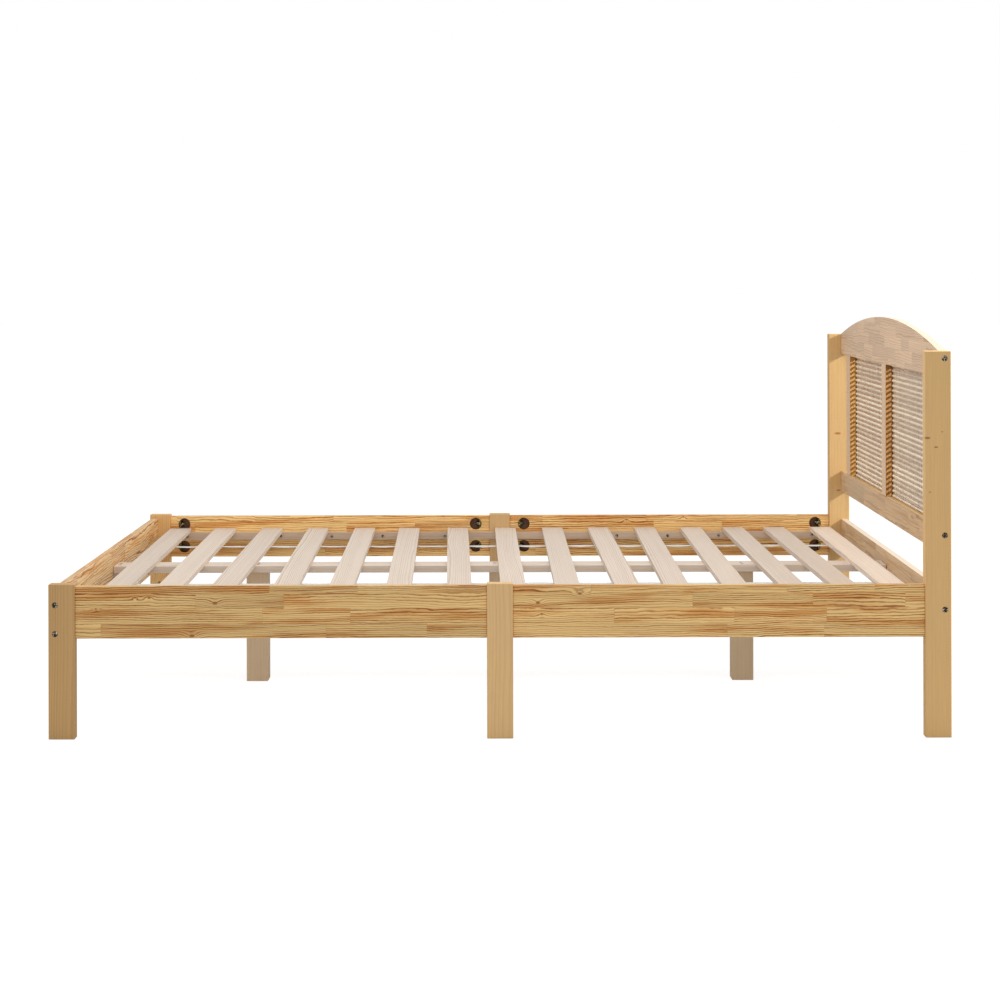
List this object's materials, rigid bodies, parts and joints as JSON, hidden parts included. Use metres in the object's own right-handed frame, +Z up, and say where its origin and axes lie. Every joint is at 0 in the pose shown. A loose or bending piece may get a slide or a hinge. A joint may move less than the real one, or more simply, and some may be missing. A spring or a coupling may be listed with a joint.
{
  "type": "bed frame",
  "caption": "Slatted pine bed frame with bolted posts and rails, a middle beam on legs, a low foot rail and an arched headboard filled with rattan panels.",
  "frame": {"origin": "on the floor, under the middle of the bed", "axes": "+X along the bed towards the headboard, +Y to the left of someone who stands at the foot and faces the headboard, +Z up"},
  "size_m": [2.068, 1.45, 0.948],
  "materials": {
    "pine_rail": "oiled golden pine with strong grain",
    "pine_post": "oiled straight-grained pine",
    "headboard_board": "pale finger-jointed pine",
    "slat_wood": "sawn and planed pale softwood, unfinished",
    "rattan": "natural woven cane",
    "steel": "zinc plated",
    "webbing": "white woven tape",
    "dowel": "plain beech"
  },
  "bodies": {
    "root": {"barrel_nuts": "steel", "beam_block_foot": "slat_wood", "beam_block_head": "slat_wood", "beam_foot": "slat_wood", "beam_head": "slat_wood", "beam_screws": "steel", "centre_leg_foot": "slat_wood", "centre_leg_head": "slat_wood", "centre_leg_middle": "slat_wood", "foot_post_left": "pine_post", "foot_post_right": "pine_post", "foot_rail": "pine_rail", "frame_cross_bolts": "steel", "half_moon_washers": "steel", "head_post_left": "pine_post", "head_post_right": "pine_post", "head_rail": "pine_rail", "headboard_arch_rail": "headboard_board", "headboard_bolts": "steel", "headboard_lower_rail": "headboard_board", "headboard_mullion": "headboard_board", "headboard_stile_left": "headboard_board", "headboard_stile_right": "headboard_board", "hex_nuts": "steel", "middle_leg_left": "pine_post", "middle_leg_right": "pine_post", "middle_leg_studs": "steel", "panel_battens_left": "headboard_board", "panel_battens_right": "headboard_board", "rail_dowels": "dowel", "rattan_panel_left": "rattan", "rattan_panel_right": "rattan", "side_rail_bolts": "steel", "side_rail_left_foot": "pine_rail", "side_rail_left_head": "pine_rail", "side_rail_right_foot": "pine_rail", "side_rail_right_head": "pine_rail", "slat_01": "slat_wood", "slat_02": "slat_wood", "slat_03": "slat_wood", "slat_04": "slat_wood", "slat_05": "slat_wood", "slat_06": "slat_wood", "slat_07": "slat_wood", "slat_08": "slat_wood", "slat_09": "slat_wood", "slat_10": "slat_wood", "slat_11": "slat_wood", "slat_12": "slat_wood", "slat_13": "slat_wood", "slat_14": "slat_wood", "slat_15": "slat_wood", "slat_cleat_left_foot": "slat_wood", "slat_cleat_left_head": "slat_wood", "slat_cleat_right_foot": "slat_wood", "slat_cleat_right_head": "slat_wood", "slat_strap_left": "webbing", "slat_strap_right": "webbing"}
  },
  "joints": []
}
